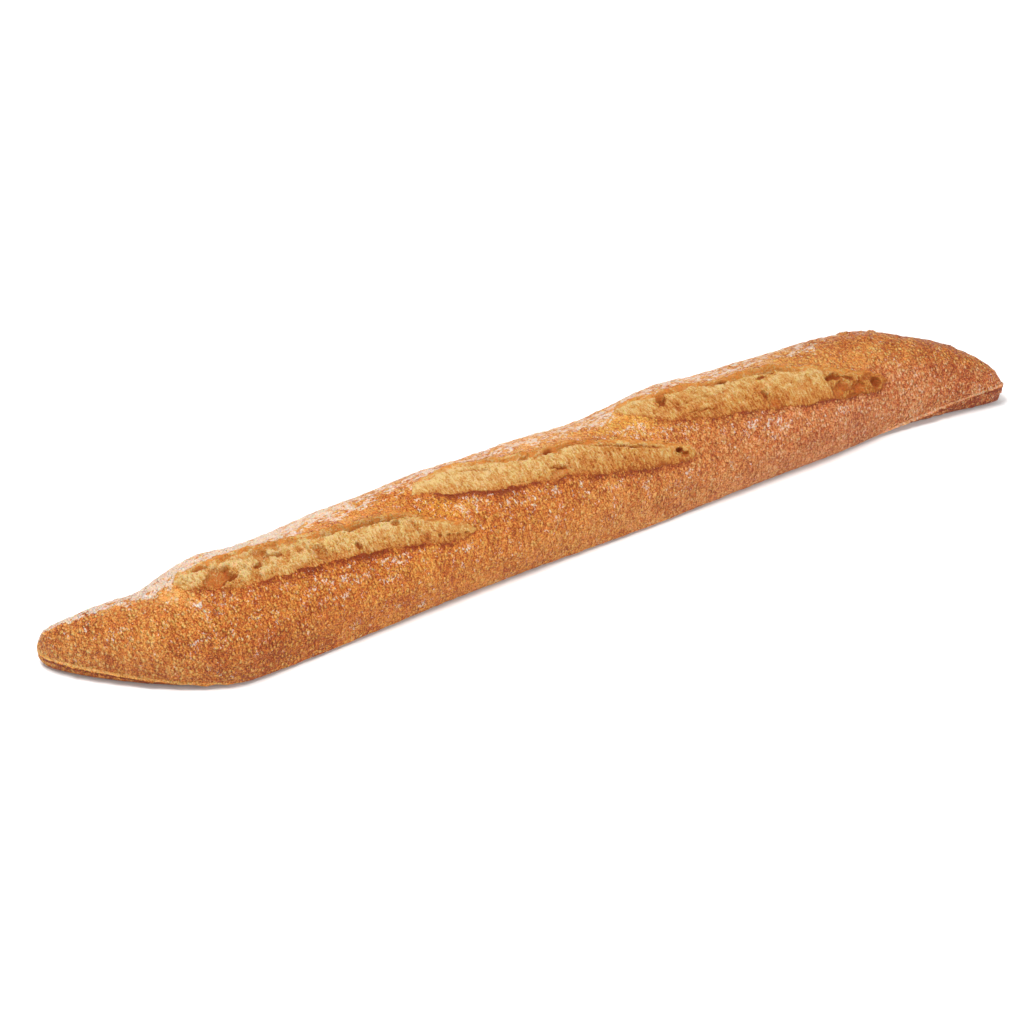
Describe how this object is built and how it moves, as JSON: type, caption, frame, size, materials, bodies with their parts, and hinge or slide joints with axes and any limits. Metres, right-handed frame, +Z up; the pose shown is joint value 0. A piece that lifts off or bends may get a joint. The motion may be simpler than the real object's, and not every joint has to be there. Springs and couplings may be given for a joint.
{
  "type": "baguette",
  "caption": "Long slender crusty loaf with tapered, slightly curled ends and slanted slashes opened along its domed top; food to slice, tear and eat.",
  "frame": {"origin": "centre of the loaf's bounding box at the level it rests on", "axes": "+X along the loaf to the end that sways to the front, +Y across it to the back, +Z up"},
  "size_m": [0.5498, 0.0782, 0.047],
  "materials": {
    "crust": "matte baked crust, golden to red brown, with pale crumb in the slashes"
  },
  "bodies": {
    "root": {"loaf": "crust"}
  },
  "joints": []
}
